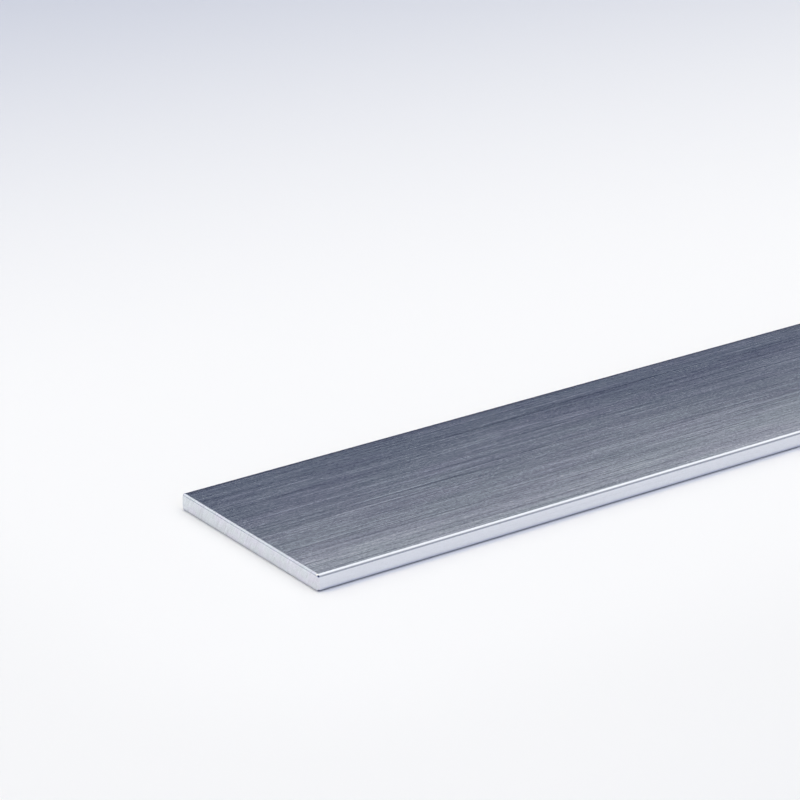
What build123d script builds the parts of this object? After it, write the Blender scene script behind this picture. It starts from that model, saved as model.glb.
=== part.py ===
from build123d import *
import os

# Straight length of steel flat bar, in millimetres. The bar lies on its wide face:
# +X runs along its length, +Y across its width and +Z up through its thickness.
# The origin is the middle of the underside.

# Driving dimensions
LENGTH = 1000.0  # stock length, square cut at both ends
WIDTH = 40.0  # nominal width of the section
THICKNESS = 3.0  # nominal thickness of the section
EDGE_RADIUS = 0.5  # rolled radius along the four long edges
END_RADIUS = 0.4  # rounding left by deburring, right round each cut end

# A radius can take no more than this share of the thickness, so the narrow sides stay flat.
MAX_RADIUS_SHARE = 0.45


def limited(radius):
    """Return the radius, held to what the bar's thickness can carry."""
    return min(radius, MAX_RADIUS_SHARE * THICKNESS)


def bar_section():
    """Make the rolled section: a flat rectangle with its four corners rounded."""
    section_plane = Plane.YZ.offset(-LENGTH / 2)
    with BuildSketch(section_plane) as section:
        with Locations((0, THICKNESS / 2)):
            RectangleRounded(WIDTH, THICKNESS, limited(EDGE_RADIUS))
    return section.sketch


def cut_end_edges(bar):
    """Find the closed loop of edges round each cut end."""
    cut_faces = bar.faces().filter_by(Axis.X)
    return cut_faces.edges()


def flat_bar():
    """Draw the section out to the stock length, then round the cut ends."""
    bar = extrude(bar_section(), amount=LENGTH)
    bar = fillet(cut_end_edges(bar), limited(END_RADIUS))
    bar.label = "flat_bar"
    return bar


os.makedirs("parts", exist_ok=True)
export_step(flat_bar(), "parts/flat_bar.step")
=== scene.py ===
import math

import bpy
from bpy.props import FloatProperty, FloatVectorProperty, IntProperty, PointerProperty
from mathutils import Euler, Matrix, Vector


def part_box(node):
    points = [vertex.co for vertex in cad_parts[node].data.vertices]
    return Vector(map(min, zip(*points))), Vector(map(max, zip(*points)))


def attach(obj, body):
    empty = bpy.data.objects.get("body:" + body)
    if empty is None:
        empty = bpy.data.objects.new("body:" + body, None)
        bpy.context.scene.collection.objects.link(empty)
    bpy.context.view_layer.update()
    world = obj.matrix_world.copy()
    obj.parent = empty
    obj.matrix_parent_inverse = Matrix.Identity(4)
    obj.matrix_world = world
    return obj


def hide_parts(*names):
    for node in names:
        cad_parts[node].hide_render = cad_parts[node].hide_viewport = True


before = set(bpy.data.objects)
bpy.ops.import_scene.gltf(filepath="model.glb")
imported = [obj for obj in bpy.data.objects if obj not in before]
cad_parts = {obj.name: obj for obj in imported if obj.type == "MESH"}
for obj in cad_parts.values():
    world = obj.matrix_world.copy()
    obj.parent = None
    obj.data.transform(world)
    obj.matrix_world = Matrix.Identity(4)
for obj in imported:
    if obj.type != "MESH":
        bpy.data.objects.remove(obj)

bl_info = {
    "name": "Brushed Flat Bar",
    "version": (1, 0, 0),
    "blender": (4, 5, 0),
    "location": "3D View > Sidebar > Flat Bar",
    "description": "Makes a length of brushed steel flat bar and a plain studio to see it in",
    "category": "Add Mesh",
}

MM = 0.001
BAR_NODE = "flat_bar"
BAKE_MAP = "OFBake"

LOW_CORNER, HIGH_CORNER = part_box(BAR_NODE)
STOCK_SIZE = HIGH_CORNER - LOW_CORNER


# ---------------------------------------------------------------- settings


class FlatBarSize(bpy.types.PropertyGroup):
    """Sizes of the bar and how finely its roundings are divided"""

    length: FloatProperty(
        name="Length",
        description="Length of the bar between its cut ends",
        default=STOCK_SIZE.x,
        unit="LENGTH",
    )
    width: FloatProperty(
        name="Width",
        description="Width of the section",
        default=STOCK_SIZE.y,
        unit="LENGTH",
    )
    thickness: FloatProperty(
        name="Thickness",
        description="Thickness of the section",
        default=STOCK_SIZE.z,
        unit="LENGTH",
    )
    edge_radius: FloatProperty(
        name="Edge Radius",
        description="How far the rounding of the long edges reaches in across the wide faces",
        default=0.5 * MM,
        unit="LENGTH",
    )
    edge_drop: FloatProperty(
        name="Edge Drop",
        description="How far the rounding of the long edges reaches down the narrow sides",
        default=0.68 * MM,
        unit="LENGTH",
    )
    end_radius: FloatProperty(
        name="End Radius",
        description="Rounding left by deburring round each cut end",
        default=0.4 * MM,
        unit="LENGTH",
    )
    holding_strip: FloatProperty(
        name="Holding Strip",
        description="Narrow strip beside each rounding that keeps the flat faces flat",
        default=0.04 * MM,
        unit="LENGTH",
    )
    edge_steps: IntProperty(
        name="Edge Steps",
        description="Facets across each long rounded edge",
        default=12,
        min=2,
    )
    end_steps: IntProperty(
        name="End Steps",
        description="Facets across the rounding at each end",
        default=10,
        min=2,
    )
    length_steps: IntProperty(
        name="Length Steps",
        description="Divisions along the bar",
        default=25,
        min=1,
    )


class SteelFinish(bpy.types.PropertyGroup):
    """Colours and polish of the steel"""

    face_dark: FloatVectorProperty(
        name="Face Dark",
        description="Colour at the bottom of the grinding lines on the wide faces",
        subtype="COLOR",
        default=(0.35, 0.365, 0.415),
    )
    face_light: FloatVectorProperty(
        name="Face Light",
        description="Colour of the ridges between the grinding lines on the wide faces",
        subtype="COLOR",
        default=(0.98, 0.985, 0.99),
    )
    # Painted dark reflection: colour of a dark band along the back edge of the wide faces
    back_edge_shade_colour: FloatVectorProperty(
        name="Back Edge Shade Colour",
        description="Colour of the unground margin along the back edge of the wide faces",
        subtype="COLOR",
        default=(0.36, 0.375, 0.42),
    )
    edge_colour: FloatVectorProperty(
        name="Edge Colour",
        description="Colour of the narrow sides and the rounded long edges",
        subtype="COLOR",
        default=(0.705, 0.729, 0.798),
    )
    end_colour: FloatVectorProperty(
        name="End Colour",
        description="Colour of the cut ends",
        subtype="COLOR",
        default=(0.706, 0.72, 0.779),
    )
    # Painted shade: colour of the dark contact shadow painted low down on the sides and ends
    contact_shade_colour: FloatVectorProperty(
        name="Grime Colour",
        description="Colour of the grime low down on the sides and ends",
        subtype="COLOR",
        default=(0.025, 0.04, 0.10),
    )
    face_roughness: FloatProperty(
        name="Face Roughness",
        description="Roughness of the wide faces between the grinding lines",
        default=0.110,
        subtype="FACTOR",
    )
    edge_roughness: FloatProperty(
        name="Edge Roughness",
        description="Roughness of the narrow sides and the rounded long edges",
        default=0.15,
        subtype="FACTOR",
    )
    end_roughness: FloatProperty(
        name="End Roughness",
        description="Roughness of the cut ends",
        default=0.22,
        subtype="FACTOR",
    )
    grain_length: FloatProperty(
        name="Grain Length",
        description="Typical length of a grinding line",
        default=16.0 * MM,
        unit="LENGTH",
    )
    grain_width: FloatProperty(
        name="Grain Width",
        description="Typical width of a grinding line",
        default=0.14 * MM,
        unit="LENGTH",
    )
    grain_depth: FloatProperty(
        name="Grain Depth",
        description="Height of the ridges between the grinding lines",
        default=0.0003 * MM,
        unit="LENGTH",
        precision=6,
    )


class StudioSettings(bpy.types.PropertyGroup):
    """Camera, floor and light of the studio"""

    camera_from_corner: FloatVectorProperty(
        name="Camera From Corner",
        description="Camera's place, from the bar's near left corner on the floor",
        subtype="XYZ",
        unit="LENGTH",
        default=(-285.7 * MM, -420.3 * MM, 238.9 * MM),
    )
    camera_azimuth: FloatProperty(
        name="Camera Azimuth",
        description="Direction the camera looks in, turned from +Y towards +X",
        subtype="ANGLE",
        default=math.radians(35.667),
    )
    camera_elevation: FloatProperty(
        name="Camera Elevation",
        description="Angle the camera looks down by",
        subtype="ANGLE",
        default=math.radians(22.076),
    )
    camera_lens: FloatProperty(
        name="Camera Lens",
        description="Focal length in millimetres, on a 36 mm sensor",
        default=159.8,
    )
    # Floor colours for the painted pool of light: pale round the bar, darker well away from it
    floor_near: FloatVectorProperty(
        name="Floor Near",
        description="Floor colour round the bar",
        subtype="COLOR",
        default=(0.944, 0.94, 0.968),
    )
    floor_far: FloatVectorProperty(
        name="Floor Far",
        description="Floor colour well away from the bar",
        subtype="COLOR",
        default=(0.525, 0.555, 0.67),
    )
    strip_light: FloatVectorProperty(
        name="Strip Light",
        description="Colour and strength of the softbox's low strip behind the bar",
        subtype="COLOR",
        default=(1.07, 1.10, 1.14),
        max=10.0,
        soft_max=10.0,
    )
    softbox: FloatVectorProperty(
        name="Softbox",
        description="Colour and strength of the wide overhead softbox",
        subtype="COLOR",
        default=(1.31, 1.31, 1.285),
        max=10.0,
        soft_max=10.0,
    )
    key_light: FloatVectorProperty(
        name="Key Light",
        description="Colour and strength that the key light adds, high up over the bar's left end",
        subtype="COLOR",
        default=(6.95, 6.2, 3.55),
        max=10.0,
        soft_max=10.0,
    )
    fill_panel: FloatVectorProperty(
        name="Fill Panel",
        description="Colour and strength of the cool reflector in front of the bar, to the left",
        subtype="COLOR",
        default=(0.84, 0.95, 1.23),
        max=10.0,
        soft_max=10.0,
    )
    back_wall: FloatVectorProperty(
        name="Back Wall",
        description="Colour of the dark studio wall behind the bar",
        subtype="COLOR",
        default=(0.053, 0.073, 0.149),
    )
    front_wall: FloatVectorProperty(
        name="Front Wall",
        description="Colour of the studio wall in front of the bar",
        subtype="COLOR",
        default=(0.43, 0.443, 0.483),
    )
    left_wall: FloatVectorProperty(
        name="Left Wall",
        description="Colour of the pale studio wall off the bar's left end",
        subtype="COLOR",
        default=(0.66, 0.69, 0.75),
    )
    horizon: FloatVectorProperty(
        name="Horizon",
        description="Colour of the backdrop at floor level",
        subtype="COLOR",
        default=(0.525, 0.555, 0.67),
    )


# ---------------------------------------------------------------- node helpers


def add_node(tree, kind, **settings):
    """Add a node to a tree and give it its settings."""
    node = tree.nodes.new(kind)
    for name, value in settings.items():
        setattr(node, name, value)
    return node


def feed(tree, socket, value):
    """Give a socket a plain value, or link another node's output to it."""
    if isinstance(value, bpy.types.NodeSocket):
        tree.links.new(value, socket)
    else:
        socket.default_value = value


def calc(tree, operation, *values):
    """Add a Math node and return its result."""
    node = add_node(tree, "ShaderNodeMath", operation=operation)
    for socket, value in zip(node.inputs, values):
        feed(tree, socket, value)
    return node.outputs[0]


def vector_calc(tree, operation, *values):
    """Add a Vector Math node and return its first result."""
    node = add_node(tree, "ShaderNodeVectorMath", operation=operation)
    for socket, value in zip(node.inputs, values):
        feed(tree, socket, value)
    return node.outputs[0]


def blend(tree, factor, start, end):
    """Return start where the factor is 0 and end where it is 1."""
    step = calc(tree, "SUBTRACT", end, start)
    return calc(tree, "MULTIPLY_ADD", factor, step, start)


def clamped(tree, value):
    """Hold a value between 0 and 1."""
    return calc(tree, "MINIMUM", calc(tree, "MAXIMUM", value, 0.0), 1.0)


def ramp(tree, value, start, end, low=0.0, high=1.0, shape="SMOOTHSTEP"):
    """Return low up to start, high from end on, and a soft step between them."""
    node = add_node(tree, "ShaderNodeMapRange", interpolation_type=shape)
    for name, number in (
        ("Value", value),
        ("From Min", start),
        ("From Max", end),
        ("To Min", low),
        ("To Max", high),
    ):
        feed(tree, node.inputs[name], number)
    return node.outputs["Result"]


def mix_colour(tree, factor, start, end):
    """Mix two colours."""
    node = add_node(tree, "ShaderNodeMix", data_type="RGBA")
    feed(tree, node.inputs["Factor"], factor)
    feed(tree, node.inputs["A"], start)
    feed(tree, node.inputs["B"], end)
    return node.outputs["Result"]


def colour(values):
    """Turn a colour setting into a colour socket's value."""
    return (*values, 1.0)


def noise(tree, place, seed, detail=2.0, roughness=0.5):
    """Return a noise value about 0.5, with cells one unit wide."""
    node = add_node(tree, "ShaderNodeTexNoise", noise_dimensions="4D")
    feed(tree, node.inputs["Vector"], place)
    feed(tree, node.inputs["W"], seed)
    feed(tree, node.inputs["Scale"], 1.0)
    feed(tree, node.inputs["Detail"], detail)
    feed(tree, node.inputs["Roughness"], roughness)
    return node.outputs[0]


# ---------------------------------------------------------------- the bar's shape

BAR_INPUTS = (
    ("Length", "NodeSocketFloat"),
    ("Width", "NodeSocketFloat"),
    ("Thickness", "NodeSocketFloat"),
    ("Edge Radius", "NodeSocketFloat"),
    ("Edge Drop", "NodeSocketFloat"),
    ("End Radius", "NodeSocketFloat"),
    ("Holding Strip", "NodeSocketFloat"),
    ("Edge Steps", "NodeSocketInt"),
    ("End Steps", "NodeSocketInt"),
    ("Length Steps", "NodeSocketInt"),
    ("Face Steel", "NodeSocketMaterial"),
    ("Edge Steel", "NodeSocketMaterial"),
    ("End Steel", "NodeSocketMaterial"),
)
RIGHT_ANGLE = math.pi / 2
MERGE_DISTANCE = 0.0001 * MM
TURN_MARGIN = 0.001

# Shares of the bake map: a strip with the bar's length across it, and the two ends above it.
MAP_MARGIN = 0.004
MAP_END_ROUND = 0.008
MAP_CORNER = 0.018
MAP_FACES = (0.42, 0.05, 0.28, 0.05)  # upper face, front side, underside, back side
MAP_CAP_MIDDLE = 0.945
MAP_CAP_HEIGHT = 0.08
MAP_CAP_WIDTH = 0.46


def bar_tree():
    """Build the Geometry Nodes tree that draws the bar out from its section.

    A grid is bent round the section and along the bar. Its columns are stations along the
    length, and its rows go round the section, corner by corner.
    """
    tree = bpy.data.node_groups.new("Flat Bar", "GeometryNodeTree")
    tree.interface.new_socket("Bar", in_out="OUTPUT", socket_type="NodeSocketGeometry")
    for name, kind in BAR_INPUTS:
        tree.interface.new_socket(name, in_out="INPUT", socket_type=kind)
    size = tree.nodes.new("NodeGroupInput").outputs

    def maths(operation, *values):
        return calc(tree, operation, *values)

    # How many stations and rows there are, and which of them a point of the grid is
    end_stations = maths("ADD", size["End Steps"], 3.0)
    last_station = maths("MULTIPLY_ADD", end_stations, 2.0, size["Length Steps"])
    corner_rows = maths("ADD", size["Edge Steps"], 3.0)
    last_row = maths("MULTIPLY", corner_rows, 4.0)
    grid = add_node(tree, "GeometryNodeMeshGrid")
    feed(tree, grid.inputs["Size X"], last_station)
    feed(tree, grid.inputs["Size Y"], last_row)
    feed(tree, grid.inputs["Vertices X"], maths("ADD", last_station, 1.0))
    feed(tree, grid.inputs["Vertices Y"], maths("ADD", last_row, 1.0))
    place = add_node(tree, "ShaderNodeSeparateXYZ")
    feed(tree, place.inputs[0], tree.nodes.new("GeometryNodeInputPosition").outputs[0])
    station = maths("ROUND", maths("MULTIPLY_ADD", last_station, 0.5, place.outputs["X"]))
    row = maths("ROUND", maths("MULTIPLY_ADD", last_row, 0.5, place.outputs["Y"]))

    # Stations count inwards from either end: core, holding ring, rounding, plain length
    from_end = maths("MINIMUM", station, maths("SUBTRACT", last_station, station))
    side = maths("SIGN", maths("MULTIPLY_ADD", last_station, -0.5, station))
    end_turn = clamped(tree, maths("DIVIDE", maths("SUBTRACT", from_end, 2.0), size["End Steps"]))
    end_angle = maths("MULTIPLY", end_turn, RIGHT_ANGLE)
    is_core = maths("LESS_THAN", from_end, 0.5)
    is_cap = maths("LESS_THAN", from_end, 1.5)
    is_plain = maths("GREATER_THAN", from_end, maths("ADD", size["End Steps"], 2.5))
    half_length = maths("MULTIPLY", size["Length"], 0.5)

    # Round the section: which corner, and how far round it
    corner = maths("FLOOR", maths("DIVIDE", maths("ADD", row, 0.5), corner_rows))
    corner_row = maths("SUBTRACT", maths("SUBTRACT", row, maths("MULTIPLY", corner, corner_rows)), 1.0)
    corner_turn = maths("DIVIDE", corner_row, size["Edge Steps"])
    angle = maths("MULTIPLY", maths("ADD", corner, clamped(tree, corner_turn)), RIGHT_ANGLE)
    before = maths("LESS_THAN", corner_turn, -TURN_MARGIN)
    after = maths("GREATER_THAN", corner_turn, 1.0 + TURN_MARGIN)
    slide = maths("MULTIPLY", maths("SUBTRACT", after, before), size["Holding Strip"])
    quarter = maths("MULTIPLY", maths("ADD", maths("MODULO", corner, 4.0), 0.5), RIGHT_ANGLE)
    across = maths("SIGN", maths("COSINE", quarter))
    upward = maths("SIGN", maths("SINE", quarter))

    # Along the bar
    end_rise = maths("SUBTRACT", 1.0, maths("COSINE", end_angle))
    end_reach = maths("SUBTRACT", half_length, maths("MULTIPLY", size["End Radius"], end_rise))
    rounding = maths("ADD", size["End Radius"], size["Holding Strip"])
    plain_reach = maths("SUBTRACT", half_length, rounding)
    plain_share = maths("DIVIDE", maths("SUBTRACT", station, end_stations), size["Length Steps"])
    plain_x = maths("MULTIPLY", plain_reach, maths("MULTIPLY_ADD", plain_share, 2.0, -1.0))
    x = blend(tree, is_plain, maths("MULTIPLY", end_reach, side), plain_x)

    # The section shrinks towards the cut face as the rounding turns in
    end_dip = maths("SUBTRACT", 1.0, maths("SINE", end_angle))
    strip_dip = maths("MULTIPLY", is_cap, size["Holding Strip"])
    inset = maths("MULTIPLY_ADD", size["End Radius"], end_dip, strip_dip)
    half_width = maths("MULTIPLY", size["Width"], 0.5)
    half_height = maths("MULTIPLY", size["Thickness"], 0.5)
    centre_y = maths("MULTIPLY", maths("SUBTRACT", half_width, size["Edge Radius"]), across)
    centre_z = maths("MULTIPLY", maths("SUBTRACT", half_height, size["Edge Drop"]), upward)
    sine = maths("SINE", angle)
    cosine = maths("COSINE", angle)
    held_y = maths("SUBTRACT", centre_y, maths("MULTIPLY", slide, sine))
    held_z = maths("MULTIPLY_ADD", slide, cosine, centre_z)
    ring_y = maths("MULTIPLY_ADD", maths("SUBTRACT", size["Edge Radius"], inset), cosine, held_y)
    ring_z = maths("MULTIPLY_ADD", maths("SUBTRACT", size["Edge Drop"], inset), sine, held_z)

    # Each cut face closes on a line along its middle
    core_reach = maths("SUBTRACT", half_width, half_height)
    core_y = maths("MINIMUM", maths("MAXIMUM", ring_y, maths("MULTIPLY", core_reach, -1.0)), core_reach)
    y = blend(tree, is_core, ring_y, core_y)
    z = maths("ADD", half_height, maths("MULTIPLY", ring_z, maths("SUBTRACT", 1.0, is_core)))

    stations = (station, last_station, end_stations)
    rows = (corner, corner_row, corner_rows)
    mapped = bake_map_nodes(tree, size, stations, rows, y, z)
    feed(tree, mapped.inputs["Geometry"], grid.outputs["Mesh"])

    bent = add_node(tree, "GeometryNodeSetPosition")
    target = add_node(tree, "ShaderNodeCombineXYZ")
    for socket, value in zip(target.inputs, (x, y, z)):
        feed(tree, socket, value)
    feed(tree, bent.inputs["Geometry"], mapped.outputs["Geometry"])
    feed(tree, bent.inputs["Position"], target.outputs[0])
    closed = add_node(tree, "GeometryNodeMergeByDistance")
    feed(tree, closed.inputs["Geometry"], bent.outputs["Geometry"])
    feed(tree, closed.inputs["Distance"], MERGE_DISTANCE)
    outward = add_node(tree, "GeometryNodeFlipFaces")
    feed(tree, outward.inputs["Mesh"], closed.outputs["Geometry"])
    smooth = add_node(tree, "GeometryNodeSetShadeSmooth")
    feed(tree, smooth.inputs["Geometry"], outward.outputs["Mesh"])
    real = add_node(tree, "GeometryNodeRealizeInstances")
    feed(tree, real.inputs["Geometry"], smooth.outputs["Geometry"])

    # Wide faces, then the rolled edges and narrow sides, then the cut ends
    spot = add_node(tree, "ShaderNodeSeparateXYZ")
    feed(tree, spot.inputs[0], tree.nodes.new("GeometryNodeInputPosition").outputs[0])
    past_flat = maths("SUBTRACT", half_width, size["Edge Radius"])
    on_edge = maths("GREATER_THAN", maths("ABSOLUTE", spot.outputs["Y"]), past_flat)
    past_plain = maths("SUBTRACT", half_length, size["End Radius"])
    on_end = maths("GREATER_THAN", maths("ABSOLUTE", spot.outputs["X"]), past_plain)
    steel = real.outputs["Geometry"]
    for chosen, name in ((True, "Face Steel"), (on_edge, "Edge Steel"), (on_end, "End Steel")):
        given = add_node(tree, "GeometryNodeSetMaterial")
        feed(tree, given.inputs["Geometry"], steel)
        feed(tree, given.inputs["Selection"], chosen)
        feed(tree, given.inputs["Material"], size[name])
        steel = given.outputs["Geometry"]
    feed(tree, tree.nodes.new("NodeGroupOutput").inputs["Bar"], steel)
    return tree


def bake_map_nodes(tree, size, stations, rows, y, z):
    """Store the bar's flat map: its length across the picture, its section up it, its ends on top."""
    station, last_station, end_stations = stations
    corner, corner_row, corner_rows = rows

    def maths(operation, *values):
        return calc(tree, operation, *values)

    # Across: left rounding, plain length, right rounding
    round_stations = maths("SUBTRACT", end_stations, 2.0)
    plain_stations = maths("MULTIPLY_ADD", end_stations, -2.0, last_station)
    left = clamped(tree, maths("DIVIDE", maths("SUBTRACT", station, 2.0), round_stations))
    plain = clamped(tree, maths("DIVIDE", maths("SUBTRACT", station, end_stations), plain_stations))
    right_start = maths("SUBTRACT", last_station, end_stations)
    right = clamped(tree, maths("DIVIDE", maths("SUBTRACT", station, right_start), round_stations))
    plain_width = 1.0 - 2 * MAP_MARGIN - 2 * MAP_END_ROUND
    strip_u = maths("MULTIPLY_ADD", maths("ADD", left, right), MAP_END_ROUND, MAP_MARGIN)
    strip_u = maths("MULTIPLY_ADD", plain, plain_width, strip_u)

    # Up: the four corners with the four faces between them
    corner_share = maths("DIVIDE", maths("ADD", corner_row, 1.0), maths("SUBTRACT", corner_rows, 1.0))
    strip_v = maths("MULTIPLY_ADD", maths("ADD", corner, corner_share), MAP_CORNER, MAP_MARGIN)
    for number, share in enumerate(MAP_FACES):
        passed = maths("GREATER_THAN", corner, number + 0.5)
        strip_v = maths("MULTIPLY_ADD", passed, share, strip_v)

    # Faces of the two cut ends have a place of their own
    face_station = add_node(tree, "GeometryNodeFieldOnDomain", data_type="FLOAT", domain="FACE")
    feed(tree, face_station.inputs[0], station)
    middle = maths("MULTIPLY", last_station, 0.5)
    off_middle = maths("SUBTRACT", face_station.outputs[0], middle)
    on_cap = maths("GREATER_THAN", maths("ABSOLUTE", off_middle), maths("SUBTRACT", middle, 2.0))
    cap_shift = maths("MULTIPLY_ADD", maths("SIGN", off_middle), 0.25, 0.5)
    cap_u = maths("MULTIPLY_ADD", maths("DIVIDE", y, size["Width"]), MAP_CAP_WIDTH, cap_shift)
    cap_rise = maths("SUBTRACT", maths("DIVIDE", z, size["Thickness"]), 0.5)
    cap_v = maths("MULTIPLY_ADD", cap_rise, MAP_CAP_HEIGHT, MAP_CAP_MIDDLE)

    spot = add_node(tree, "ShaderNodeCombineXYZ")
    feed(tree, spot.inputs["X"], blend(tree, on_cap, strip_u, cap_u))
    feed(tree, spot.inputs["Y"], blend(tree, on_cap, strip_v, cap_v))
    stored = add_node(tree, "GeometryNodeStoreNamedAttribute", data_type="FLOAT2", domain="CORNER")
    feed(tree, stored.inputs["Name"], BAKE_MAP)
    feed(tree, stored.inputs["Value"], spot.outputs[0])
    return stored


def made_by_nodes(name, tree, values):
    """Run a Geometry Nodes tree and return a plain object with what it made."""
    piece = bpy.data.objects.new(name, bpy.data.meshes.new(name))
    bpy.context.scene.collection.objects.link(piece)
    modifier = piece.modifiers.new(name, "NODES")
    modifier.node_group = tree
    for item in tree.interface.items_tree:
        if item.item_type == "SOCKET" and item.in_out == "INPUT":
            modifier[item.identifier] = values[item.name]
    depsgraph = bpy.context.evaluated_depsgraph_get()
    mesh = bpy.data.meshes.new_from_object(piece.evaluated_get(depsgraph), depsgraph=depsgraph)
    piece.modifiers.remove(modifier)
    piece.data = mesh
    mesh.name = name
    return piece


# ---------------------------------------------------------------- the steel's finish

# Reaches of the streaks along a line, from whole strokes to flecks: size against the line's
# length, number of finer sizes added to it, how strong those are, and the whole layer's strength
STREAKS = (
    (2.0, 3.5, 0.6, 1.4),
    (0.032, 1.0, 1.0, 1.3),
)
# Scratches among the streaks: size against the line's length, the noise value where one starts
# and the value where it is full, and how much lighter or darker it is
SCRATCHES = (
    (2.0, 0.64, 0.72, -0.38),
    (1.5, 0.64, 0.72, 0.34),
)
# Wider bands of lines that are lighter or darker together, and the low ridges that the light
# catches: sizes against the line's length and width
BAND_LENGTH = 10.0
BAND_WIDTH = 9.0
BAND_STRENGTH = 0.3
RIDGE_WIDTH = 2.0

# How far each surface's highlight stretches across the bar's length
FACE_STRETCH = 0.4
SIDE_STRETCH = 0.5
END_STRETCH = 0.3

# Painted dark band along the back edge of the wide faces, for the dark reflection there: distances in from
# the edge
BACK_EDGE_SHADE_START = 1.2 * MM
BACK_EDGE_SHADE_FULL = 0.75 * MM

# Drawn lines on the narrow sides, and belt marks on the cut ends, which lean over from upright
SIDE_LINE_LENGTH = 30.0 * MM
SIDE_LINE_WIDTH = 0.20 * MM
SIDE_LINE_DEPTH = 0.0003 * MM
END_LINE_LENGTH = 2.0 * MM
END_LINE_WIDTH = 0.25 * MM
END_LINE_DEPTH = 0.0006 * MM
END_LINES_LEAN = math.radians(-28.0)

# Tints that the darkest and the lightest lines give the steel's colour
SIDE_TINTS = (0.94, 1.05)
END_TINTS = (0.88, 1.12)

# Handling marks: size of the wiped patches on each surface, how many tarnished spots go to one
# of them, the noise values between which each sets in, and the tints from clean to tarnished
FACE_PATCHES = (90.0 * MM, 20.0 * MM, 20.0 * MM)
SIDE_PATCHES = (30.0 * MM, 4.0 * MM, 2.0 * MM)
END_PATCHES = (12.0 * MM, 12.0 * MM, 12.0 * MM)
SPOTS_IN_PATCH = 5.0
DULLNESS_RANGE = (0.40, 0.70)
TARNISH_RANGE = (0.35, 0.65)
FACE_TARNISH = ((1.0, 0.985, 1.0), (0.97, 1.0, 0.975))
END_TARNISH = ((1.01, 0.983, 1.005), (0.97, 1.0, 0.965))

# How much each surface's roughness rises: on the ridges of the wide faces, and in wiped patches
FACE_ROUGHNESS_RANGE = 0.02
FACE_DULLING = 0.01
SIDE_DULLING = 0.04
END_DULLING = 0.05

# Painted contact shadow, darker low down on the sides and ends: how high it reaches and how
# strong it is on each surface, and the share of its height up to which it is full
CONTACT_SHADE_FULL_SHARE = 0.32
SIDE_CONTACT_SHADE_HEIGHT = 0.35 * MM
SIDE_CONTACT_SHADE = 1.0
END_CONTACT_SHADE_HEIGHT = 0.58 * MM
END_CONTACT_SHADE = 0.28

# Painted dark reflection at the tip of each corner: its middle, in from the cut face and in from the
# wide face, and the distances from there up to which it is full and at which it ends
CORNER_SHADE_INSET = 0.17 * MM
CORNER_SHADE_DROP = 0.16 * MM
CORNER_SHADE_FULL = 0.22 * MM
CORNER_SHADE_END = 0.31 * MM


def shader_group(name, inputs, outputs):
    """Start a shader node group with named sockets. Return it with its inputs and its output node."""
    tree = bpy.data.node_groups.new(name, "ShaderNodeTree")
    for label, kind in inputs:
        tree.interface.new_socket(label, in_out="INPUT", socket_type=kind)
    for label in outputs:
        tree.interface.new_socket(label, in_out="OUTPUT", socket_type="NodeSocketFloat")
    return tree, tree.nodes.new("NodeGroupInput").outputs, tree.nodes.new("NodeGroupOutput")


def grain_group():
    """Lines left by grinding or drawing, along the X of the place they are given.

    Every line has its own run of lighter and darker streaks, so neighbours differ sharply.
    The height is smoother: low ridges of about the same length and width.
    """
    inputs = (
        ("Place", "NodeSocketVector"),
        ("Line Length", "NodeSocketFloat"),
        ("Line Width", "NodeSocketFloat"),
        ("Seed", "NodeSocketFloat"),
    )
    tree, given, result = shader_group("Grinding Lines", inputs, ("Grain", "Height"))
    size = add_node(tree, "ShaderNodeCombineXYZ")
    for socket, label in zip(size.inputs, ("Line Length", "Line Width", "Line Width")):
        feed(tree, socket, given[label])
    place = vector_calc(tree, "DIVIDE", given["Place"], size.outputs[0])
    step = add_node(tree, "ShaderNodeSeparateXYZ")
    feed(tree, step.inputs[0], place)
    line = add_node(tree, "ShaderNodeCombineXYZ")
    feed(tree, line.inputs["X"], step.outputs["X"])
    feed(tree, line.inputs["Y"], calc(tree, "MULTIPLY", calc(tree, "FLOOR", step.outputs["Y"]), 3.7))
    feed(tree, line.inputs["Z"], calc(tree, "MULTIPLY", calc(tree, "FLOOR", step.outputs["Z"]), 5.3))
    grain = 0.5
    for number, (reach, finer, falloff, strength) in enumerate(STREAKS):
        stretched = vector_calc(tree, "MULTIPLY", line.outputs[0], (1 / reach, 1.0, 1.0))
        seed = calc(tree, "ADD", given["Seed"], 11.7 * number)
        streak = noise(tree, stretched, seed, detail=finer, roughness=falloff)
        grain = calc(tree, "MULTIPLY_ADD", calc(tree, "SUBTRACT", streak, 0.5), strength, grain)
    for number, (reach, start, full, strength) in enumerate(SCRATCHES):
        stretched = vector_calc(tree, "MULTIPLY", line.outputs[0], (1 / reach, 1.0, 1.0))
        seed = calc(tree, "ADD", given["Seed"], 83.1 + 7.9 * number)
        scratch = ramp(tree, noise(tree, stretched, seed, detail=0.0), start, full)
        grain = calc(tree, "MULTIPLY_ADD", scratch, strength, grain)
    wide = vector_calc(tree, "MULTIPLY", place, (1 / BAND_LENGTH, 1 / BAND_WIDTH, 1 / BAND_WIDTH))
    band = noise(tree, wide, calc(tree, "ADD", given["Seed"], 41.3), detail=1.0)
    grain = calc(tree, "MULTIPLY_ADD", calc(tree, "SUBTRACT", band, 0.5), BAND_STRENGTH, grain)
    feed(tree, result.inputs["Grain"], clamped(tree, grain))
    ridged = vector_calc(tree, "MULTIPLY", place, (1.0, 1 / RIDGE_WIDTH, 1 / RIDGE_WIDTH))
    ridges = noise(tree, ridged, calc(tree, "ADD", given["Seed"], 61.9), detail=1.0)
    feed(tree, result.inputs["Height"], ridges)
    return tree


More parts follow.
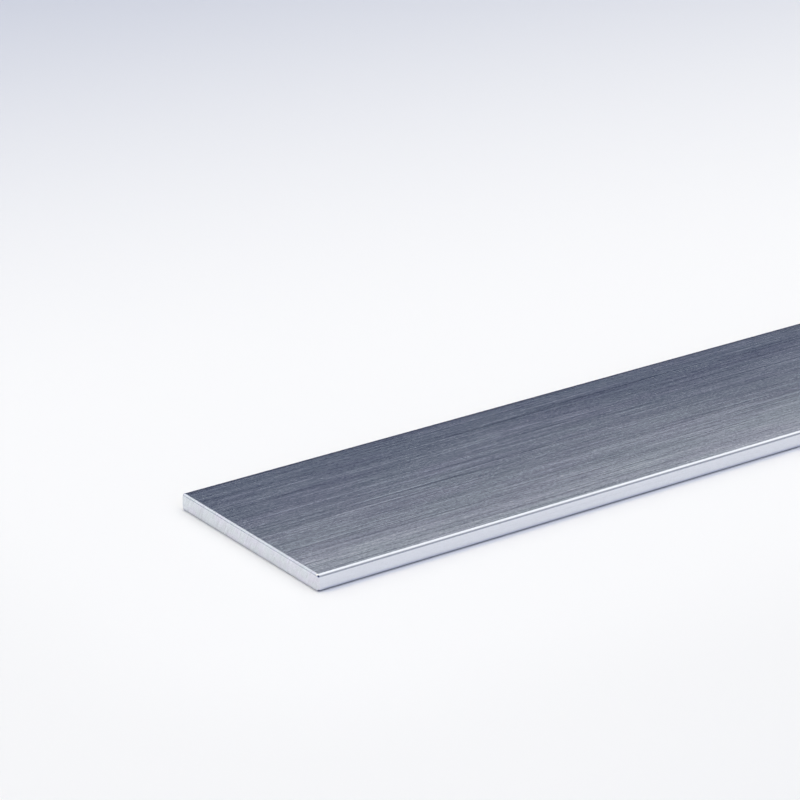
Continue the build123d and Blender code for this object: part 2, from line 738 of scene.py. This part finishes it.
def handling_group():
    """Faint marks from handling: dull wiped patches, and smaller ones with a tarnished tint."""
    inputs = (("Place", "NodeSocketVector"), ("Patch Size", "NodeSocketVector"))
    tree, given, result = shader_group("Handling Marks", inputs, ("Dullness", "Tarnish"))
    place = vector_calc(tree, "DIVIDE", given["Place"], given["Patch Size"])
    patches = noise(tree, place, 3.1, detail=3.0, roughness=0.55)
    feed(tree, result.inputs["Dullness"], ramp(tree, patches, *DULLNESS_RANGE))
    small = vector_calc(tree, "MULTIPLY", place, (SPOTS_IN_PATCH, SPOTS_IN_PATCH, SPOTS_IN_PATCH))
    spots = noise(tree, small, 7.7, detail=3.0, roughness=0.6)
    feed(tree, result.inputs["Tarnish"], ramp(tree, spots, *TARNISH_RANGE))
    return tree


def contact_shade_group():
    """Painted contact shadow: darker low down, where the bar meets what it lies on."""
    inputs = (
        ("Place", "NodeSocketVector"),
        ("Height", "NodeSocketFloat"),
        ("Amount", "NodeSocketFloat"),
    )
    tree, given, result = shader_group("Low Grime", inputs, ("Contact Shade",))
    spot = add_node(tree, "ShaderNodeSeparateXYZ")
    feed(tree, spot.inputs[0], given["Place"])
    full_height = calc(tree, "MULTIPLY", given["Height"], CONTACT_SHADE_FULL_SHARE)
    low = ramp(tree, spot.outputs["Z"], full_height, given["Height"], 1.0, 0.0)
    feed(tree, result.inputs["Contact Shade"], calc(tree, "MULTIPLY", low, given["Amount"]))
    return tree


def use_group(tree, group, **values):
    """Place a node group in a tree and feed its inputs, named with underscores for spaces."""
    node = add_node(tree, "ShaderNodeGroup", node_tree=group)
    for name, value in values.items():
        feed(tree, node.inputs[name.replace("_", " ")], value)
    return node.outputs


def steel_material(name, stretch):
    """Start a bare metal material whose highlight stretches across the bar's length."""
    material = bpy.data.materials.new(name)
    material.use_nodes = True
    tree = material.node_tree
    shader = tree.nodes["Principled BSDF"]
    shader.inputs["Metallic"].default_value = 1.0
    shader.inputs["Anisotropic"].default_value = stretch
    around = add_node(tree, "ShaderNodeTangent", direction_type="RADIAL", axis="X")
    feed(tree, shader.inputs["Tangent"], around.outputs[0])
    place = tree.nodes.new("ShaderNodeTexCoord").outputs["Object"]
    return material, tree, shader, place


def raised(tree, height, depth):
    """Return the normal of a surface with a height in metres for each unit of the pattern."""
    bump = add_node(tree, "ShaderNodeBump")
    feed(tree, bump.inputs["Strength"], 1.0)
    feed(tree, bump.inputs["Distance"], depth)
    feed(tree, bump.inputs["Height"], height)
    return bump.outputs[0]


def tarnished(tree, tint, marks, tints):
    """Tint a colour where the handling marks have tarnished it."""
    tarnish = mix_colour(tree, marks["Tarnish"], colour(tints[0]), colour(tints[1]))
    return vector_calc(tree, "MULTIPLY", tint, tarnish)


def line_tint(tree, lines, steel, tints):
    """Return the steel's colour, darker and lighter from line to line."""
    dark, light = [colour([share * value for value in steel]) for share in tints]
    return mix_colour(tree, lines["Grain"], dark, light)


def face_steel(size, finish, grain, handling):
    """Wide faces: ground lengthwise, with fine long lines."""
    material, tree, shader, place = steel_material("Ground Face", FACE_STRETCH)
    lines = use_group(
        tree, grain, Place=place, Line_Length=finish.grain_length, Line_Width=finish.grain_width, Seed=1.0
    )
    marks = use_group(tree, handling, Place=place, Patch_Size=FACE_PATCHES)
    tint = mix_colour(tree, lines["Grain"], colour(finish.face_dark), colour(finish.face_light))
    tint = tarnished(tree, tint, marks, FACE_TARNISH)
    # Painted dark band along the back edge, for the dark reflection the far rolled edge shows
    spot = add_node(tree, "ShaderNodeSeparateXYZ")
    feed(tree, spot.inputs[0], place)
    back_edge = size.width / 2
    back_edge_shade = ramp(tree, spot.outputs["Y"], back_edge - BACK_EDGE_SHADE_START, back_edge - BACK_EDGE_SHADE_FULL)
    feed(tree, shader.inputs["Base Color"], mix_colour(tree, back_edge_shade, tint, colour(finish.back_edge_shade_colour)))
    smoothest = finish.face_roughness - FACE_ROUGHNESS_RANGE
    roughest = finish.face_roughness + FACE_ROUGHNESS_RANGE
    ground = blend(tree, lines["Grain"], smoothest, roughest)
    roughness = calc(tree, "MULTIPLY_ADD", marks["Dullness"], FACE_DULLING, ground)
    feed(tree, shader.inputs["Roughness"], roughness)
    feed(tree, shader.inputs["Normal"], raised(tree, lines["Height"], finish.grain_depth))
    return material


def edge_steel(finish, grain, handling, contact_shade):
    """Narrow sides and rolled edges: smoother, with faint drawn lines."""
    material, tree, shader, place = steel_material("Rolled Edge", SIDE_STRETCH)
    lines = use_group(
        tree, grain, Place=place, Line_Length=SIDE_LINE_LENGTH, Line_Width=SIDE_LINE_WIDTH, Seed=4.0
    )
    marks = use_group(tree, handling, Place=place, Patch_Size=SIDE_PATCHES)
    tint = line_tint(tree, lines, finish.edge_colour, SIDE_TINTS)
    # Painted contact shadow: the sides darken low down, where they meet the floor
    low = use_group(tree, contact_shade, Place=place, Height=SIDE_CONTACT_SHADE_HEIGHT, Amount=SIDE_CONTACT_SHADE)
    tint = mix_colour(tree, low["Contact Shade"], tint, colour(finish.contact_shade_colour))
    feed(tree, shader.inputs["Base Color"], tint)
    roughness = calc(tree, "MULTIPLY_ADD", marks["Dullness"], SIDE_DULLING, finish.edge_roughness)
    feed(tree, shader.inputs["Roughness"], roughness)
    feed(tree, shader.inputs["Normal"], raised(tree, lines["Height"], SIDE_LINE_DEPTH))
    return material


def painted_corner_shade(tree, place, size):
    """Return 1 at the tips of the bar's eight corners, where a dark reflection is painted, and 0 elsewhere.
    """
    spot = (
        size.length / 2 - CORNER_SHADE_INSET,
        size.width / 2,
        size.thickness / 2 - CORNER_SHADE_DROP,
    )
    off_middle = vector_calc(tree, "SUBTRACT", place, (0.0, 0.0, size.thickness / 2))
    from_spot = add_node(tree, "ShaderNodeVectorMath", operation="DISTANCE")
    feed(tree, from_spot.inputs[0], vector_calc(tree, "ABSOLUTE", off_middle))
    feed(tree, from_spot.inputs[1], spot)
    return ramp(tree, from_spot.outputs["Value"], CORNER_SHADE_FULL, CORNER_SHADE_END, 1.0, 0.0)


def end_steel(size, finish, grain, handling, contact_shade):
    """Cut ends: sawn square and belted smooth, with faint marks across the thickness."""
    material, tree, shader, place = steel_material("Cut End", END_STRETCH)
    turned = add_node(tree, "ShaderNodeMapping")
    feed(tree, turned.inputs["Vector"], place)
    feed(tree, turned.inputs["Rotation"], (END_LINES_LEAN, RIGHT_ANGLE, 0.0))
    along_lines = turned.outputs[0]
    lines = use_group(
        tree, grain, Place=along_lines, Line_Length=END_LINE_LENGTH, Line_Width=END_LINE_WIDTH, Seed=9.0
    )
    marks = use_group(tree, handling, Place=place, Patch_Size=END_PATCHES)
    tint = tarnished(tree, line_tint(tree, lines, finish.end_colour, END_TINTS), marks, END_TARNISH)
    # Painted contact shadow low down, and a painted dark reflection at the corner tips
    low = use_group(tree, contact_shade, Place=place, Height=END_CONTACT_SHADE_HEIGHT, Amount=END_CONTACT_SHADE)
    painted_shade = calc(tree, "MAXIMUM", low["Contact Shade"], painted_corner_shade(tree, place, size))
    tint = mix_colour(tree, painted_shade, tint, colour(finish.contact_shade_colour))
    feed(tree, shader.inputs["Base Color"], tint)
    roughness = calc(tree, "MULTIPLY_ADD", marks["Dullness"], END_DULLING, finish.end_roughness)
    feed(tree, shader.inputs["Roughness"], roughness)
    feed(tree, shader.inputs["Normal"], raised(tree, lines["Height"], END_LINE_DEPTH))
    return material


# ---------------------------------------------------------------- the studio

FLOOR_REACH = 40.0

# Painted pool of light round the bar: distances where it starts to fade and where it ends, and how
# much nearer it draws in, as a share of the way in from the bar's ends, up to a limit
POOL_START = 0.060
POOL_END = 0.450
POOL_DRIFT = 0.176
POOL_DRIFT_REACH = 0.300

# Slight shade in front of the bar and past its ends: distances where it starts and is full
FOREGROUND_START = 0.020
FOREGROUND_FULL = 0.060
FOREGROUND_SHADE = 0.968


def far_off(tree, one_way, other_way):
    """Return the distance that two distances at right angles make."""
    squares = calc(tree, "MULTIPLY", one_way, one_way)
    squares = calc(tree, "MULTIPLY_ADD", other_way, other_way, squares)
    return calc(tree, "SQRT", squares)


def floor_material(studio):
    """Pale floor with a painted pool of light round the bar, and painted slight shade in front and past its
    ends.
    """
    material = bpy.data.materials.new("Studio Floor")
    material.use_nodes = True
    tree = material.node_tree
    shader = tree.nodes["Principled BSDF"]
    shader.inputs["Roughness"].default_value = 1.0
    shader.inputs["Specular IOR Level"].default_value = 0.0
    spot = add_node(tree, "ShaderNodeSeparateXYZ")
    feed(tree, spot.inputs[0], tree.nodes.new("ShaderNodeTexCoord").outputs["Object"])
    from_middle = calc(tree, "ABSOLUTE", spot.outputs["X"])
    inside = calc(tree, "SUBTRACT", STOCK_SIZE.x / 2, from_middle)
    beyond = calc(tree, "MINIMUM", inside, 0.0)
    drift = calc(tree, "MINIMUM", calc(tree, "MAXIMUM", inside, 0.0), POOL_DRIFT_REACH)
    beside = calc(tree, "ABSOLUTE", spot.outputs["Y"])
    far = calc(tree, "MULTIPLY_ADD", drift, POOL_DRIFT, far_off(tree, beyond, beside))
    in_front = calc(tree, "MINIMUM", calc(tree, "ADD", spot.outputs["Y"], STOCK_SIZE.y / 2), 0.0)
    outside = far_off(tree, beyond, in_front)
    shade = ramp(tree, outside, FOREGROUND_START, FOREGROUND_FULL, 1.0, FOREGROUND_SHADE)
    near = add_node(tree, "ShaderNodeVectorMath", operation="SCALE")
    feed(tree, near.inputs["Vector"], studio.floor_near)
    feed(tree, near.inputs["Scale"], shade)
    share = ramp(tree, far, POOL_START, POOL_END)
    tint = mix_colour(tree, share, near.outputs["Vector"], colour(studio.floor_far))
    feed(tree, shader.inputs["Base Color"], tint)
    return material


def make_floor(studio):
    """Lay a large level floor under the bar."""
    mesh = bpy.data.meshes.new("studio_floor")
    corners = [(x, y, 0.0) for x, y in ((-1, -1), (1, -1), (1, 1), (-1, 1))]
    mesh.from_pydata([Vector(corner) * FLOOR_REACH for corner in corners], [], [(0, 1, 2, 3)])
    mesh.materials.append(floor_material(studio))
    floor = bpy.data.objects.new("studio_floor", mesh)
    bpy.context.scene.collection.objects.link(floor)
    return floor


# Where each light hangs. First the angle round the bar's length, in degrees up from the floor
# behind it, then the reach along the bar, from -1 at its left to 1 at its right. Each has a
# place where the light starts, where it is full, where it starts to fade and where it ends.
STRIP_PLACE = ((29.05, 30.65, 44.0, 52.0), (-0.80, -0.66, 0.66, 0.80))
# The strip hangs lower to the left: full dip up to the first reach, none from the second on
STRIP_DIP_START = -0.60
STRIP_DIP_END = 0.20
STRIP_DIP = 8.0
SOFTBOX_PLACE = ((44.0, 52.0, 120.0, 148.0), (-0.14, 0.0, 0.66, 0.80))
KEY_PLACE = ((64.0, 67.0, 75.0, 78.0), (-0.80, -0.70, -0.25, -0.10))
FILL_PLACE = ((108.0, 120.0, 164.0, 171.0), (-1.0, -0.88, 0.20, 0.35))
FRONT_WALL_ROUND = (60.0, 150.0)
LEFT_WALL_PLACE = ((-4.0, 22.0, 75.0, 105.0), (-1.02, -1.01, -0.10, 0.30))
HORIZON_RISE = (0.03, 0.14)


def make_world(studio):
    """Light the studio: a dark back wall, a grey front wall and a pale left wall over a pale
    horizon, and hung among them a softbox with a low strip, a key light and a fill panel.
    """
    world = bpy.data.worlds.new("Studio Light")
    bpy.context.scene.world = world
    world.use_nodes = True
    tree = world.node_tree
    tree.nodes.clear()

    look = add_node(tree, "ShaderNodeSeparateXYZ")
    feed(tree, look.inputs[0], tree.nodes.new("ShaderNodeTexCoord").outputs["Generated"])
    along = look.outputs["X"]
    around = calc(tree, "DEGREES", calc(tree, "ARCTAN2", look.outputs["Z"], look.outputs["Y"]))

    def band(value, start, full, fade, end):
        """Return 1 from full to fade, with soft steps out to start and end."""
        return calc(tree, "MULTIPLY", ramp(tree, value, start, full), ramp(tree, value, fade, end, 1.0, 0.0))

    def shape(place):
        """Return how much of the light hung at this place shows."""
        return calc(tree, "MULTIPLY", band(around, *place[0]), band(along, *place[1]))

    in_front = ramp(tree, around, *FRONT_WALL_ROUND)
    walls = mix_colour(tree, in_front, colour(studio.back_wall), colour(studio.front_wall))
    walls = mix_colour(tree, shape(LEFT_WALL_PLACE), walls, colour(studio.left_wall))
    walls = mix_colour(tree, shape(FILL_PLACE), walls, colour(studio.fill_panel))
    above = ramp(tree, look.outputs["Z"], *HORIZON_RISE)
    light = mix_colour(tree, above, colour(studio.horizon), walls)
    dip = ramp(tree, along, STRIP_DIP_START, STRIP_DIP_END, STRIP_DIP, 0.0)
    strip = calc(
        tree,
        "MULTIPLY",
        band(calc(tree, "ADD", around, dip), *STRIP_PLACE[0]),
        band(along, *STRIP_PLACE[1]),
    )
    light = mix_colour(tree, strip, light, colour(studio.strip_light))
    light = mix_colour(tree, shape(SOFTBOX_PLACE), light, colour(studio.softbox))
    lamp = mix_colour(tree, shape(KEY_PLACE), colour((0.0, 0.0, 0.0)), colour(studio.key_light))
    light = vector_calc(tree, "ADD", light, lamp)
    background = add_node(tree, "ShaderNodeBackground")
    feed(tree, background.inputs["Color"], light)
    output = add_node(tree, "ShaderNodeOutputWorld")
    feed(tree, output.inputs["Surface"], background.outputs[0])


CLOSEST_VIEW = 10.0 * MM


def make_camera(studio):
    """Set the camera to look along the bar from above its near left corner."""
    data = bpy.data.cameras.new("Studio Camera")
    data.lens = studio.camera_lens
    data.clip_start = CLOSEST_VIEW
    data.clip_end = 2 * FLOOR_REACH
    camera = bpy.data.objects.new("Studio Camera", data)
    bpy.context.scene.collection.objects.link(camera)
    near_corner = Vector((LOW_CORNER.x, LOW_CORNER.y, LOW_CORNER.z))
    camera.location = near_corner + Vector(studio.camera_from_corner)
    tilt = math.pi / 2 - studio.camera_elevation
    camera.rotation_euler = Euler((tilt, 0.0, -studio.camera_azimuth))
    bpy.context.scene.camera = camera


# ---------------------------------------------------------------- operators and panel


class FLATBAR_OT_make_bar(bpy.types.Operator):
    """Make the brushed flat bar over its plain model"""

    bl_idname = "flatbar.make_bar"
    bl_label = "Make Bar"

    def execute(self, context):
        size = context.scene.flat_bar_size
        finish = context.scene.steel_finish
        grain = grain_group()
        handling = handling_group()
        contact_shade = contact_shade_group()
        values = {
            "Length": size.length,
            "Width": size.width,
            "Thickness": size.thickness,
            "Edge Radius": size.edge_radius,
            "Edge Drop": size.edge_drop,
            "End Radius": size.end_radius,
            "Holding Strip": size.holding_strip,
            "Edge Steps": size.edge_steps,
            "End Steps": size.end_steps,
            "Length Steps": size.length_steps,
            "Face Steel": face_steel(size, finish, grain, handling),
            "Edge Steel": edge_steel(finish, grain, handling, contact_shade),
            "End Steel": end_steel(size, finish, grain, handling, contact_shade),
        }
        bar = made_by_nodes("brushed_bar", bar_tree(), values)
        if not bar.data.polygons or BAKE_MAP not in bar.data.uv_layers:
            raise RuntimeError("the bar's nodes made no mesh or no bake map")
        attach(bar, "root")
        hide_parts(BAR_NODE)
        return {"FINISHED"}


class FLATBAR_OT_make_studio(bpy.types.Operator):
    """Make the floor, the light and the camera"""

    bl_idname = "flatbar.make_studio"
    bl_label = "Make Studio"

    def execute(self, context):
        studio = context.scene.bar_studio
        make_floor(studio)
        make_world(studio)
        make_camera(studio)
        context.scene.view_settings.view_transform = "Standard"
        return {"FINISHED"}


class FLATBAR_PT_panel(bpy.types.Panel):
    """Sizes, finish and studio of the flat bar"""

    bl_idname = "FLATBAR_PT_panel"
    bl_label = "Flat Bar"
    bl_space_type = "VIEW_3D"
    bl_region_type = "UI"
    bl_category = "Flat Bar"

    def draw(self, context):
        for group in (context.scene.flat_bar_size, context.scene.steel_finish, context.scene.bar_studio):
            box = self.layout.box()
            for name in group.__annotations__:
                box.prop(group, name)
        self.layout.operator(FLATBAR_OT_make_bar.bl_idname)
        self.layout.operator(FLATBAR_OT_make_studio.bl_idname)


CLASSES = (
    FlatBarSize,
    SteelFinish,
    StudioSettings,
    FLATBAR_OT_make_bar,
    FLATBAR_OT_make_studio,
    FLATBAR_PT_panel,
)


def register():
    for item in CLASSES:
        bpy.utils.register_class(item)
    bpy.types.Scene.flat_bar_size = PointerProperty(type=FlatBarSize)
    bpy.types.Scene.steel_finish = PointerProperty(type=SteelFinish)
    bpy.types.Scene.bar_studio = PointerProperty(type=StudioSettings)


def unregister():
    del bpy.types.Scene.bar_studio
    del bpy.types.Scene.steel_finish
    del bpy.types.Scene.flat_bar_size
    for item in reversed(CLASSES):
        bpy.utils.unregister_class(item)


def main():
    """Make the bar and its studio."""
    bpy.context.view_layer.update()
    register()
    bpy.ops.flatbar.make_bar()
    bpy.ops.flatbar.make_studio()


if __name__ == "__main__":
    main()
